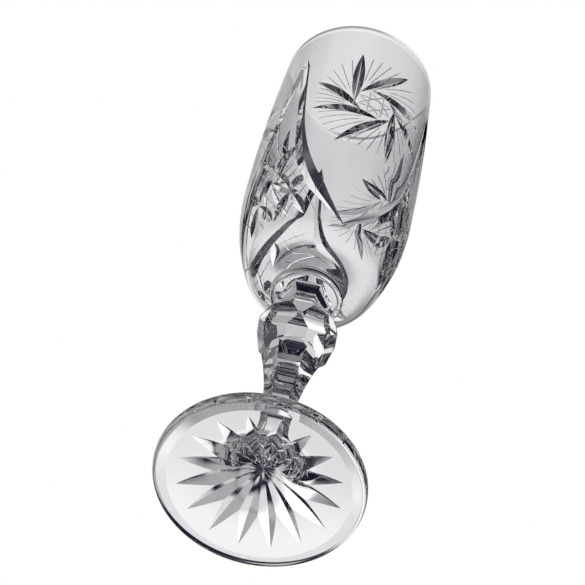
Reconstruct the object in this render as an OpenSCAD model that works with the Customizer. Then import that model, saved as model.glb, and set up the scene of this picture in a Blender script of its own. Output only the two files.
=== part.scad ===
// Stemmed sparkling-wine glass in colourless cut crystal, standing on its foot.
// Z runs up the axis of the glass from the table, and the front of the glass faces -Y.
// Sizes are in millimetres and angles in degrees.

/* [Overall] */
// Height from the table to the rim
total_h = 206; // [180:0.5:240]

/* [Foot] */
// Diameter of the foot
foot_d = 62; // [50:0.5:80]
// Thickness of the foot at its edge
foot_edge_t = 3.9; // [2.5:0.1:6]
// Radius that rounds the edge of the foot
foot_edge_r = 1.6; // [0.5:0.1:1.9]
// Width of the flat ring that the glass stands on
rest_ring_w = 2.6; // [1:0.1:5]
// Height of the hollow under the middle of the foot
foot_dome_h = 4.4; // [1:0.1:6]
// Height of the joint between foot and stem
foot_joint_z = 18.7; // [14:0.1:24]
// Radius of the foot where it takes the stem
foot_pad_r = 5.65; // [4.5:0.05:8]
// Radius of the hollow curve between the stem and the foot's slope
foot_flare_r = 14.4; // [8:0.1:17]

/* [Star under the foot] */
// Number of rays in the star
star_rays = 16; // [8:2:24]
// Turn of the star from the front
star_turn = 4; // [0:0.5:45]
// Radius at which the rays run out
star_tip_r = 24.3; // [15:0.1:27]
// Depth of the cuts at the middle of the star
star_depth = 3.2; // [1:0.1:4]
// Angle between the two sides of a ray
star_v = 98; // [80:1:130]

/* [Stem] */
// Number of flats round the stem and the knop
flats = 6; // [6:1:8]
// Turn of the flats from the front
stem_turn = -3; // [-30:0.5:30]
// Height of the waist, where the stem is slimmest
waist_z = 31; // [20:0.5:50]
// Distance from the axis to a flat at the waist
waist_a = 4.15; // [3:0.05:8]
// Radius of the lengthwise hollow of the flats
flute_r = 112; // [60:1:160]
// Radius at the corners of the stem's shoulder
shoulder_r = 8.65; // [6:0.05:12]
// Height of the stem's shoulder
shoulder_z = 58.7; // [50:0.1:70]
// Radius of the notch under the knop
notch_r = 7.4; // [5:0.05:11]
// Height of the joint between stem and knop
knop_joint_z = 60.8; // [52:0.1:72]

/* [Knop] */
// Distance from the axis to the edge facets at the joint
knop_foot_b = 8.05; // [6:0.05:12]
// Distance from the axis to the edge facets at the girdle
knop_girdle_b = 11.9; // [8:0.05:16]
// Height of the girdle at the edge facets
knop_girdle_z = 72.3; // [66:0.1:80]
// Distance from the axis to the main facets at the joint
knop_foot_a = 7.55; // [5:0.05:11]
// Distance from the axis to the top of the main facets
knop_main_a = 8.85; // [6:0.05:12]
// Height of the top of the main facets
knop_main_z = 64.5; // [62:0.1:70]
// Distance from the axis to the upright facets
knop_belt_a = 11.65; // [8:0.05:16]
// Height of the lower edge of the upright facets
knop_belt_low_z = 67.1; // [64:0.1:72]
// Height of the upper edge of the upright facets
knop_belt_top_z = 73.4; // [68:0.1:80]
// Height of the neck's slimmest place
neck_z = 84; // [80:0.1:90]
// Distance from the axis to the neck's flats
neck_a = 5; // [3:0.1:8]
// Radius of the hollow round the neck
neck_hollow_r = 6; // [4:0.1:10]

/* [Collar] */
// Height of the joint between knop and collar
collar_joint_z = 88.6; // [85:0.1:95]
// Radius of the collar
collar_r = 11.2; // [8:0.1:16]

/* [Bowl] */
// Height of the joint between collar and bowl
bowl_joint_z = 92.3; // [88:0.1:100]
// Largest radius of the bowl
belly_r = 26.25; // [20:0.05:40]
// Height of the largest radius
belly_z = 134; // [110:0.5:170]
// Radius of the bowl at the rim
rim_r = 23.65; // [18:0.05:40]
// Radius of the curve from the belly down to the base
flank_r = 95; // [60:1:200]
// Radius of the curve round the base
base_r = 15.4; // [8:0.1:22]
// Glass ground off the base to seat it on the collar
seat_cut = 0.3; // [0.1:0.05:0.6]
// Thickness of the wall at the belly
wall_t = 3.4; // [2:0.1:5]
// Thickness of the wall at the rim
rim_t = 2; // [1:0.1:3]
// Height of the bottom inside the bowl
cavity_z = 99; // [95:0.1:110]

/* [Cuts in the bowl] */
// Number of panels round the bowl, each with a pinwheel and an arch
panels = 3; // [2:1:4]
// Turn of the first pinwheel from the front
wheel_turn = 14.2; // [0:0.1:60]
// Height of a pinwheel's middle above the bowl's joint
wheel_rise = 69.5; // [50:0.1:80]
// Distance of the blades from a pinwheel's middle
wheel_hub = 6.95; // [5:0.05:9]
// Turns of the four blades of half a pinwheel from upright
blade_turn = [-1.6, 36.4, 90.5, 131.5]; // [-20:0.1:180]
// Places along the four blades where they start
blade_start = [-2.2, -0.2, -2.2, -0.3]; // [-4:0.1:4]
// Places along the four blades where they end
blade_end = [26.4, 26.4, 19.6, 20.8]; // [12:0.1:30]
// Depth of a blade at its middle
blade_depth = 1.25; // [0.6:0.05:2]
// Angle between the two sides of a blade
blade_v = 108; // [90:1:125]
// Height of an arch's point above the bowl's joint
arch_rise = 94.7; // [70:0.1:105]
// Height of an arch's feet above the bowl's joint
arch_foot = 10.9; // [10:0.1:25]
// Share of an arch's half width that its sides lean out evenly
arch_lean = 0.4; // [0.2:0.01:0.7]
// Depth of an arch's mitre near its point
arch_top_depth = 0.9; // [0.5:0.05:1.5]
// Depth of an arch's mitre near its feet
arch_low_depth = 2; // [0.8:0.05:2.5]
// Angle between the two sides of an arch's mitre
arch_v = 118; // [90:1:125]
// Half width of a cell of the lattice inside an arch
cell_w = 6.6; // [4:0.1:9]
// Half height of a cell of the lattice inside an arch
cell_h = 10.8; // [7:0.1:14]
// Height of the middle of the lattice above the bowl's joint
cell_rise = 21.1; // [18:0.1:40]
// Depth of the leaves of the lattice
leaf_depth = 1.2; // [0.6:0.05:2]

/* [Hidden] */
$fn = 256;
eps = 0.01;
inside_bands = 12;

foot_r = foot_d / 2;
reach = foot_r;
rest_out_r = foot_r - foot_edge_r;
stem_blank_r = shoulder_r + 0.85;
rest_in_r = rest_out_r - rest_ring_w;
dome_r = (rest_in_r * rest_in_r + foot_dome_h * foot_dome_h) / (2 * foot_dome_h);
step = 360 / flats;
corner = cos(step / 2);
bead_r = rim_t / 2 + 8 * eps;
bead_z = total_h - bead_r;

// A size rounded to a hundredth, so that arcs which share a height meet there exactly
function hundredth(x) = round(100 * x) / 100;

// Centre of the corner curve of a cup, as [radius, height]
function cup_corner(br, fr, cr, bottom) =
    let (cz = bottom + cr)
    [hundredth(br - fr + sqrt(pow(fr - cr, 2) - pow(belly_z - cz, 2))), cz];

// Height where a cup's flank runs into its corner curve
function cup_join_z(br, fr, cr, bottom) =
    let (c = cup_corner(br, fr, cr, bottom))
    hundredth(belly_z + (c[1] - belly_z) * fr / (fr - cr));

// Radius of the curve from belly to rim
function cup_side_r(br, rr) =
    hundredth((pow(bead_z - belly_z, 2) + pow(br - rr, 2)) / (2 * (br - rr)));

// Radius of a wheel that cuts to a depth and runs out at a given half length in a hollow of radius hollow
function wheel_r(half_len, depth, hollow) =
    let (sag = hollow - sqrt(hollow * hollow - half_len * half_len), drop = depth + sag)
    (half_len * half_len + drop * drop) / (2 * drop);

// Half section of a cup filled to the brim, made of arcs that are tangent where they meet.
// With bands above 0, the long side is that many straight bands along its arc.
module cup_section(br, rr, fr, cr, bottom, top, bands = 0) {
    side_r = cup_side_r(br, rr);
    c = cup_corner(br, fr, cr, bottom);
    join_z = cup_join_z(br, fr, cr, bottom);
    if (bands > 0)
        polygon(concat(
            [[0, belly_z]],
            [
                for (i = [0:bands])
                    let (rise = (top - belly_z) * i / bands)
                    [br - side_r + sqrt(side_r * side_r - rise * rise), belly_z + rise]
            ],
            [[0, top]]
        ));
    else intersection() {
        translate([br - side_r, belly_z]) circle(side_r);
        translate([0, belly_z]) square([br + 1, top - belly_z]);
    }
    intersection() {
        translate([br - fr, belly_z]) circle(fr);
        translate([0, join_z]) square([br + 1, belly_z - join_z]);
    }
    intersection() {
        translate(c) circle(cr);
        translate([c[0], bottom]) square([cr + 1, join_z - bottom]);
    }
    translate([0, bottom]) square([c[0], join_z - bottom]);
}

// A bar with the given section of [distance from axis, height], lying across the front
module across(section, width) {
    translate([-width / 2, 0, 0])
        rotate([90, 0, 90])
            linear_extrude(width)
                polygon([for (p = section) [-p[0], p[1]]]);
}

// Copies of a tool at every flat, started at a turn from the front
module each_flat(turn) {
    for (i = [0:flats - 1]) rotate([0, 0, turn + i * step]) children();
}

// Height of the bottom of a star ray at a distance along the ray
function ray_z(s) =
    let (radius = wheel_r(star_tip_r, star_depth, dome_r))
    foot_dome_h + star_depth - radius + sqrt(radius * radius - s * s);

// Height of the star's surface at a radius, along a ray or along the ridge between two rays
function star_z(r, ridge) =
    let (h = 180 / star_rays)
    ridge ? ray_z(r * cos(h)) - r * sin(h) / tan(star_v / 2) : ray_z(r);

// The glass that the mitre wheel takes out for the star, as rings of points round the axis
module star_cut() {
    spokes = 2 * star_rays;
    rings = [for (i = [1:7]) i * (star_tip_r + 2.7) / 7];
    last = len(rings) - 1;
    low = -foot_dome_h;
    function at(r, k, z) =
        let (a = star_turn + k * 180 / star_rays)
        [r * sin(a), -r * cos(a), z];
    function id(j, k) = 1 + j * spokes + k % spokes;
    points = concat(
        [[0, 0, ray_z(0)]],
        [for (j = [0:last]) for (k = [0:spokes - 1]) at(rings[j], k, star_z(rings[j], k % 2 == 1))],
        [for (k = [0:spokes - 1]) at(rings[last], k, low)],
        [[0, 0, low]]
    );
    end = len(points) - 1;
    faces = concat(
        [for (k = [0:spokes - 1]) [0, id(0, k + 1), id(0, k)]],
        [for (j = [0:last]) for (k = [0:spokes - 1]) [id(j, k), id(j, k + 1), id(j + 1, k + 1)]],
        [for (j = [0:last]) for (k = [0:spokes - 1]) [id(j, k), id(j + 1, k + 1), id(j + 1, k)]],
        [for (k = [0:spokes - 1]) [end, id(last + 1, k), id(last + 1, k + 1)]]
    );
    polyhedron(points, faces);
}

module foot_blank() {
    edge = [rest_out_r, foot_edge_t - foot_edge_r];
    flare = [foot_pad_r + foot_flare_r, foot_joint_z + 1.5];
    along = flare - edge;
    aim = atan2(along[1], along[0]) + asin((foot_edge_r + foot_flare_r) / norm(along));
    side = [cos(aim - 90), sin(aim - 90)];
    top = edge + (foot_edge_r - 2 * eps) * side;
    low = flare - (foot_flare_r - 5 * eps) * side;
    rotate_extrude() difference() {
        union() {
            polygon([
                [0, 0], [rest_out_r, 0], [rest_out_r, foot_edge_t - foot_edge_r], top, low,
                [flare[0], flare[1]], [flare[0] - foot_flare_r, foot_joint_z], [0, foot_joint_z]
            ]);
            translate([rest_out_r, foot_edge_r]) circle(foot_edge_r);
            translate(edge) circle(foot_edge_r);
            translate([rest_out_r, foot_edge_r])
                square([foot_edge_r, foot_edge_t - 2 * foot_edge_r]);
        }
        translate(flare) circle(foot_flare_r);
        translate([0, foot_joint_z]) square([foot_d, foot_joint_z]);
        translate([0, foot_dome_h - dome_r]) circle(dome_r);
    }
}

module foot() {
    color("lightcyan") difference() {
        foot_blank();
        star_cut();
    }
}

module stem() {
    slope = (knop_joint_z - shoulder_z) / (shoulder_r - notch_r);
    color("azure") difference() {
        rotate_extrude() polygon([
            [0, foot_joint_z], [stem_blank_r, foot_joint_z],
            [stem_blank_r, shoulder_z - slope * (stem_blank_r - shoulder_r)],
            [notch_r, knop_joint_z], [0, knop_joint_z]
        ]);
        each_flat(stem_turn)
            translate([0, -waist_a - flute_r, waist_z])
                rotate([0, 90, 0]) cylinder(r = flute_r, h = reach, center = true);
    }
}

module knop() {
    crown_top_z = neck_z - 2;
    main_low = knop_foot_a - (knop_main_a - knop_foot_a) / (knop_main_z - knop_joint_z);
    edge_low = knop_foot_b - (knop_girdle_b - knop_foot_b) / (knop_girdle_z - knop_joint_z);
    color("lightblue") difference() {
        rotate_extrude() polygon([
            [0, knop_joint_z], [knop_girdle_b + 1, knop_joint_z],
            [knop_girdle_b + 1, crown_top_z], [collar_r - 2, crown_top_z],
            [collar_r - 2, collar_joint_z], [0, collar_joint_z]
        ]);
        each_flat(stem_turn)
            across([
                [main_low, knop_joint_z - 1], [knop_main_a, knop_main_z],
                [knop_belt_a, knop_belt_low_z], [knop_belt_a, knop_belt_top_z],
                [neck_a + 0.7, crown_top_z + eps], [reach, crown_top_z + eps],
                [reach, knop_joint_z - 1]
            ], reach);
        each_flat(stem_turn + step / 2)
            across([
                [edge_low, knop_joint_z - 1], [knop_girdle_b, knop_girdle_z],
                [(neck_a + 0.7) / corner + 1, crown_top_z + eps], [reach, crown_top_z + eps],
                [reach, knop_joint_z - 1]
            ], reach);
        each_flat(stem_turn)
            translate([0, -neck_a - neck_hollow_r, neck_z])
                rotate([0, 90, 0]) cylinder(r = neck_hollow_r, h = reach, center = true);
    }
}

module collar() {
    edge_r = (bowl_joint_z - collar_joint_z) / 2;
    color("lightcyan") rotate_extrude() {
        translate([0, collar_joint_z]) square([collar_r - edge_r, 2 * edge_r]);
        intersection() {
            translate([collar_r - edge_r, collar_joint_z + edge_r]) circle(edge_r);
            translate([collar_r - edge_r, collar_joint_z]) square([edge_r, 2 * edge_r]);
        }
    }
}

// Arc that the outside of the bowl follows at a height, as [centre radius, centre height, radius]
function wall_arc(z) =
    let (low = bowl_joint_z - seat_cut,
        side_r = cup_side_r(belly_r, rim_r),
        c = cup_corner(belly_r, flank_r, base_r, low))
    z > belly_z ? [belly_r - side_r, belly_z, side_r]
    : z > cup_join_z(belly_r, flank_r, base_r, low) ? [belly_r - flank_r, belly_z, flank_r]
    : [c[0], c[1], base_r];

// Point over the outside of the bowl, at a distance round the belly and a height, lifted off the wall
function wall_at(x, z, lift) =
    let (k = wall_arc(z),
        out = sqrt(k[2] * k[2] - pow(z - k[1], 2)),
        r = k[0] + out * (1 + lift / k[2]),
        a = x / belly_r * 180 / PI)
    [r * sin(a), -r * cos(a), z + lift * (z - k[1]) / k[2]];

// The glass that a wheel with a pointed edge takes out along a path of [distance round, height, depth]
module mitre_cut(path, v) {
    rise = 0.4;
    last = len(path) - 1;
    function side(i) =
        let (a = path[max(i - 1, 0)], b = path[min(i + 1, last)], p = path[i],
            along = wall_at(b[0], b[1], 0) - wall_at(a[0], a[1], 0),
            s = cross(wall_at(p[0], p[1], 1) - wall_at(p[0], p[1], 0), along))
        s / norm(s);
    points = [
        for (i = [0:last])
            let (p = path[i], w = (p[2] + rise) * tan(v / 2), top = wall_at(p[0], p[1], rise))
            each [wall_at(p[0], p[1], -p[2]), top + w * side(i), top - w * side(i)]
    ];
    faces = concat(
        [[0, 1, 2], [3 * last, 3 * last + 2, 3 * last + 1]],
        [
            for (i = [0:last - 1]) for (e = [[0, 1], [1, 2], [2, 0]])
                let (a = 3 * i + e[0], b = 3 * i + e[1])
                each [[b, a, a + 3], [b, a + 3, b + 3]]
        ]
    );
    polyhedron(points, faces);
}

// A straight cut that is deepest at its middle and runs out at both ends
module leaf_cut(from, to, depth, v) {
    steps = 5;
    overrun = 1.06;
    mitre_cut([
        for (i = [0:steps])
            let (u = overrun * (2 * i / steps - 1), p = (from + to) / 2 + u * (to - from) / 2)
            [p[0], p[1], depth * (1 - u * u)]
    ], v);
}

// The eight blades of a pinwheel
module pinwheel() {
    middle = [0, bowl_joint_z + wheel_rise];
    for (half = [-1, 1]) for (k = [0:3]) {
        along = half * [sin(blade_turn[k]), cos(blade_turn[k])];
        root = middle + wheel_hub * [-along[1], along[0]];
        leaf_cut(root + blade_start[k] * along, root + blade_end[k] * along, blade_depth, blade_v);
    }
}

// One side of a pointed arch, to the right for way 1 and to the left for way -1
module arch_side(middle, way) {
    half = PI * belly_r / panels;
    steps = 14;
    first = -0.03;
    last = 0.975;
    mitre_cut([
        for (i = [0:steps])
            let (t = first + (last - first) * i / steps,
                x = middle + way * half * (arch_lean * t + (1 - arch_lean) * pow(t, 7)),
                run_out = min(1, (t - first - 0.01) / 0.06, (last - 0.005 - t) / 0.05),
                depth = (arch_top_depth + (arch_low_depth - arch_top_depth) * pow(t, 5)) * run_out)
            [x, bowl_joint_z + arch_rise + (arch_foot - arch_rise) * t, depth]
    ], arch_v);
}

// The leaves of the lattice inside an arch that lean one way
module lattice(middle, way) {
    inset = 0.07;
    edges = [
        [[0, 1], [1, 2]], [[-1, 0], [0, 1]], [[0, -1], [1, 0]],
        [[1, 0], [1.62, 0.62]], [[-1.95, -0.95], [-1, 0]]
    ];
    for (e = edges) {
        ends = [for (p = e) [middle + way * p[0] * cell_w, bowl_joint_z + cell_rise + p[1] * cell_h]];
        trim = inset * (ends[1] - ends[0]);
        leaf_cut(ends[0] + trim, ends[1] - trim, leaf_depth, blade_v);
    }
}

// Copies of a tool in every panel of the bowl
module each_panel() {
    for (k = [0:panels - 1]) rotate([0, 0, wheel_turn + k * 360 / panels]) children();
}

module bowl_blank() {
    rotate_extrude() {
        difference() {
            cup_section(belly_r, rim_r, flank_r, base_r, bowl_joint_z - seat_cut, bead_z);
            cup_section(belly_r - wall_t, rim_r - rim_t, flank_r - wall_t, base_r - wall_t / 2,
                cavity_z, total_h + 1, inside_bands);
            translate([0, bowl_joint_z - 2]) square([belly_r, 2]);
        }
        translate([rim_r - rim_t / 2, bead_z]) circle(bead_r);
    }
}

module bowl() {
    middle = -PI * belly_r / panels;
    color("azure") difference() {
        difference() {
            difference() {
                bowl_blank();
                each_panel() for (way = [-1, 1]) arch_side(middle, way);
            }
            each_panel() pinwheel();
        }
        each_panel() for (way = [-1, 1]) lattice(middle, way);
    }
}

bowl();
collar();
knop();
stem();
foot();
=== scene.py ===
"""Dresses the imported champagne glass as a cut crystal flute.

Each piece of glass is turned from a profile and then cut with wheels, as the real one is. Sizes are in
millimetres in the frame of the part: Z runs up the axis and the front faces -Y. A mesh becomes metres when
its piece is finished.
"""

from __future__ import annotations

import logging
import math
from dataclasses import dataclass, field
from enum import Enum

import bmesh
import bpy
import numpy as np
from mathutils import Matrix, Vector, kdtree
from mathutils.geometry import tessellate_polygon

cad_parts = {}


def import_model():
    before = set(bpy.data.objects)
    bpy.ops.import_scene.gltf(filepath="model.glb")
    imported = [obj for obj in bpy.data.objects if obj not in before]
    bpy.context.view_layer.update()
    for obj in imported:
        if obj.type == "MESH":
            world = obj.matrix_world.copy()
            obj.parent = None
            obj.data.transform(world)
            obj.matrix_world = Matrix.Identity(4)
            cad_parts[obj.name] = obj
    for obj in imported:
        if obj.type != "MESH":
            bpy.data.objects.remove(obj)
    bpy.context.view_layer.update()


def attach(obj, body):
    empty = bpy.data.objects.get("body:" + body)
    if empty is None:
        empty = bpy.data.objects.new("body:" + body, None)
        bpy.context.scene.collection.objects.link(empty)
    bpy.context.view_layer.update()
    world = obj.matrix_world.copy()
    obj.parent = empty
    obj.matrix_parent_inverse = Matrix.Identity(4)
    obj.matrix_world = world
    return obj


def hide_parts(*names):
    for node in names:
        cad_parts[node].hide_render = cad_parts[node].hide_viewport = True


LOG = logging.getLogger("champagne_glass")
METRE = 0.001
TOUCHING = 1e-3
ON_AXIS = 1e-6
FRONT = -90.0

Spot = tuple[float, float]
Signal = float | bpy.types.NodeSocket


class Skin(Enum):
    """Kinds of surface on a piece of glass, in the order of its material slots."""

    WALL = 0
    CUT = 1
    JOINT = 2
    LINE = 3


def arc(centre: Spot, radius: float, start: float, end: float, count: int) -> np.ndarray:
    """Points along an arc in the turning plane.

    Args:
        centre: Radius and height of the arc's centre.
        radius: Radius of the arc.
        start: First angle in degrees, from outwards towards up.
        end: Last angle in degrees.
        count: Number of points.

    Returns:
        Points as rows of radius and height.
    """
    angle = np.radians(np.linspace(start, end, count))
    return np.column_stack((centre[0] + radius * np.cos(angle), centre[1] + radius * np.sin(angle)))


def chain(*parts: np.ndarray) -> np.ndarray:
    """Joins stretches of a profile, leaving out points that lie on the one before.

    Args:
        parts: Stretches as rows of radius and height, in order.

    Returns:
        One run of points.
    """
    points = np.vstack(parts)
    gap = np.linalg.norm(np.diff(points, axis=0), axis=1)
    return points[np.concatenate(([True], gap > TOUCHING))]


@dataclass
class Shell:
    """Points, faces and skins of a closed mesh in millimetres."""

    points: list[tuple[float, float, float]] = field(default_factory=list)
    faces: list[tuple[int, ...]] = field(default_factory=list)
    skins: list[Skin] = field(default_factory=list)

    def add(self, points: np.ndarray, faces: list[tuple[int, ...]], skin: Skin) -> None:
        """Adds faces with their own points.

        Args:
            points: Points as rows.
            faces: Faces that count from the first of these points.
            skin: Skin of all these faces.
        """
        first = len(self.points)
        self.points.extend(map(tuple, points))
        self.faces.extend(tuple(first + i for i in f) for f in faces)
        self.skins.extend([skin] * len(faces))

    def to_object(
        self, name: str, finishes: list[bpy.types.Material], outward: bool = False
    ) -> bpy.types.Object:
        """Makes a mesh object of the shell.

        Args:
            name: Name of the object.
            finishes: Materials for the skins, in their order.
            outward: Whether all faces are first turned outwards.

        Returns:
            The new object, in the scene.
        """
        mesh = bpy.data.meshes.new(name)
        mesh.from_pydata(self.points, [], self.faces)
        for finish in finishes:
            mesh.materials.append(finish)
        mesh.polygons.foreach_set("material_index", [s.value for s in self.skins])
        if outward:
            sheet = bmesh.new()
            sheet.from_mesh(mesh)
            bmesh.ops.recalc_face_normals(sheet, faces=sheet.faces)
            if sheet.calc_volume(signed=True) < 0:
                bmesh.ops.reverse_faces(sheet, faces=sheet.faces)
            sheet.to_mesh(mesh)
            sheet.free()
        made = bpy.data.objects.new(name, mesh)
        bpy.context.scene.collection.objects.link(made)
        return made


@dataclass
class Turning:
    """A profile that is turned round the axis: smooth runs of radius and height, outwards and up."""

    runs: list[tuple[np.ndarray, Skin]]
    around: int = 192

    @classmethod
    def stepped(cls, corners: list[Spot], skins: list[Skin]) -> Turning:
        """A profile that runs straight from corner to corner.

        Args:
            corners: Radius and height of each corner.
            skins: Skin of each run between two corners.

        Returns:
            The profile.
        """
        return cls([(np.array(ends), skin) for ends, skin in zip(zip(corners, corners[1:]), skins)])

    def shell(self) -> Shell:
        """Turns the profile into a mesh with closed poles.

        Returns:
            The mesh, open only where the profile starts or ends off the axis.
        """
        angle = np.arange(self.around) * 2 * math.pi / self.around
        made = Shell()
        before: list[int] = []
        last = None
        for run, skin in self.runs:
            for point in run:
                if last is not None and np.linalg.norm(point - last) < TOUCHING:
                    continue
                first = len(made.points)
                if point[0] < ON_AXIS:
                    made.points.append((0.0, 0.0, float(point[1])))
                    ring = [first] * self.around
                else:
                    x = point[0] * np.cos(angle)
                    y = point[0] * np.sin(angle)
                    made.points.extend(zip(x, y, np.full(self.around, point[1])))
                    ring = list(range(first, first + self.around))
                if before:
                    self._strip(made, before, ring, skin)
                before = ring
                last = point
        return made

    def _strip(self, made: Shell, low: list[int], high: list[int], skin: Skin) -> None:
        """Adds the faces between two rings.

        Args:
            made: Mesh that gets the faces.
            low: Points of the ring that comes first in the profile.
            high: Points of the next ring.
            skin: Skin of the faces.
        """
        for k in range(self.around):
            after = (k + 1) % self.around
            face = tuple(dict.fromkeys((low[k], low[after], high[after], high[k])))
            if len(face) > 2:
                made.faces.append(face)
                made.skins.append(skin)

    def outlines(self, dense: int = 1500) -> list[tuple[np.ndarray, np.ndarray]]:
        """Dense points of each run with their outward directions.

        Args:
            dense: Number of even steps along a run.

        Returns:
            Points and directions for each run, as rows of radius and height.
        """
        pairs = []
        for run, _ in self.runs:
            length = np.concatenate(([0], np.cumsum(np.linalg.norm(np.diff(run, axis=0), axis=1))))
            along = np.gradient(run, length, axis=0)
            out = np.column_stack((along[:, 1], -along[:, 0]))
            even = np.unique(np.concatenate((np.linspace(0, length[-1], dense), length)))
            points = np.column_stack([np.interp(even, length, run[:, i]) for i in (0, 1)])
            turned = np.column_stack([np.interp(even, length, out[:, i]) for i in (0, 1)])
            pairs.append((points, turned / np.linalg.norm(turned, axis=1)[:, None]))
        return pairs


def cap(made: Shell, ring: list[int], loop: np.ndarray, height: float, up: bool) -> None:
    """Closes a ring with a flat face that has the outline of the neighbouring piece in it.

    Args:
        made: Mesh that gets the faces.
        ring: Points round the opening.
        loop: Outline of the neighbour as rows of x and y.
        height: Height of the flat.
        up: Whether the flat faces up.
    """
    first = len(made.points)
    made.points.extend((float(x), float(y), height) for x, y in loop)
    inner = list(range(first, first + len(loop)))
    ids = ring + inner
    flat = [Vector((made.points[i][0], made.points[i][1], 0)) for i in ids]
    for a, b, c in tessellate_polygon([flat[: len(ring)], flat[len(ring) :]]):
        turn = (flat[b] - flat[a]).cross(flat[c] - flat[a]).z
        face = (ids[a], ids[b], ids[c]) if (turn > 0) == up else (ids[a], ids[c], ids[b])
        made.faces.append(face)
        made.skins.append(Skin.WALL)
    made.points.append((0.0, 0.0, height))
    middle = len(made.points) - 1
    for a, b in zip(inner, inner[1:] + inner[:1]):
        made.faces.append((a, b, middle) if up else (b, a, middle))
        made.skins.append(Skin.JOINT)


def hexagon(flat: float, turn: float, per_side: int = 8) -> np.ndarray:
    """Outline of a six-sided stem, counter-clockwise from above.

    Args:
        flat: Distance from the axis to a side.
        turn: Turn of a side from the front, in degrees.
        per_side: Number of points on each side.

    Returns:
        Points as rows of x and y.
    """
    corner = flat / math.cos(math.pi / 6)
    angle = np.radians(turn + FRONT - 30 + 60 * np.arange(7))
    corners = corner * np.column_stack((np.cos(angle), np.sin(angle)))
    share = np.linspace(0, 1, per_side, endpoint=False)[:, None]
    return np.vstack([a + share * (b - a) for a, b in zip(corners, corners[1:])])


def bar(section: np.ndarray, half_width: float) -> Shell:
    """A straight tool that lies across the front of the glass.

    Args:
        section: Outline as rows of distance from the axis and height.
        half_width: Half the length of the bar.

    Returns:
        The tool as a closed mesh.
    """
    count = len(section)
    ends = []
    for x in (-half_width, half_width):
        ends.append(np.column_stack((np.full(count, x), -section[:, 0], section[:, 1])))
    faces = [tuple(range(count)), tuple(range(2 * count - 1, count - 1, -1))]
    faces += [(i, (i + 1) % count, count + (i + 1) % count, count + i) for i in range(count)]
    made = Shell()
    made.add(np.vstack(ends), faces, Skin.CUT)
    return made


def mitre(
    places: np.ndarray,
    out: np.ndarray,
    depth: np.ndarray,
    half_angle: float,
    rise: float = 0.3,
    land: float = 0.03,
    least_land: float = 0.15,
) -> Shell:
    """The glass that a wheel with a pointed edge takes out along a path.

    Args:
        places: Points of the path on the surface, as rows.
        out: Outward directions of the surface there.
        depth: Depth of the cut at each point.
        half_angle: Half the angle between the two sides of the cut, in degrees.
        rise: How far the tool stands out of the surface.
        land: Width of the wheel's worn edge, which leaves a narrow floor in the cut.
        least_land: Share of that width where the cut runs out.

    Returns:
        The tool as a closed mesh.
    """
    along = np.gradient(places, axis=0)
    side = np.cross(out, along)
    side /= np.linalg.norm(side, axis=1)[:, None]
    narrow = (land / 2 * np.clip(depth / depth.max(), least_land, 1))[:, None]
    wide = narrow + ((depth + rise) * math.tan(math.radians(half_angle)))[:, None]
    top = places + rise * out
    floor = places - depth[:, None] * out
    corners = (floor - narrow * side, floor + narrow * side, top + wide * side, top - wide * side)
    last = 4 * len(places)
    faces: list[tuple[int, ...]] = [(0, 1, 2, 3), (last - 1, last - 2, last - 3, last - 4)]
    for i in range(0, last - 4, 4):
        for a, b in ((0, 1), (1, 2), (2, 3), (3, 0)):
            faces.append((i + a, i + 4 + a, i + 4 + b, i + b))
    made = Shell()
    made.add(np.stack(corners, axis=1).reshape(-1, 3), faces, Skin.CUT)
    return made


def together(shells: list[Shell]) -> Shell:
    """Puts several tools that don't touch into one mesh.

    Args:
        shells: The tools.

    Returns:
        One tool.
    """
    made = Shell()
    for part in shells:
        made.add(np.array(part.points), part.faces, Skin.CUT)
    return made


def settle(made: bpy.types.Object) -> None:
    """Turns an object with modifiers into a plain mesh.

    Args:
        made: The object, which keeps its name.
    """
    view = bpy.context.evaluated_depsgraph_get()
    mesh = bpy.data.meshes.new_from_object(made.evaluated_get(view))
    made.modifiers.clear()
    old = made.data
    made.data = mesh
    bpy.data.meshes.remove(old)


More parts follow.
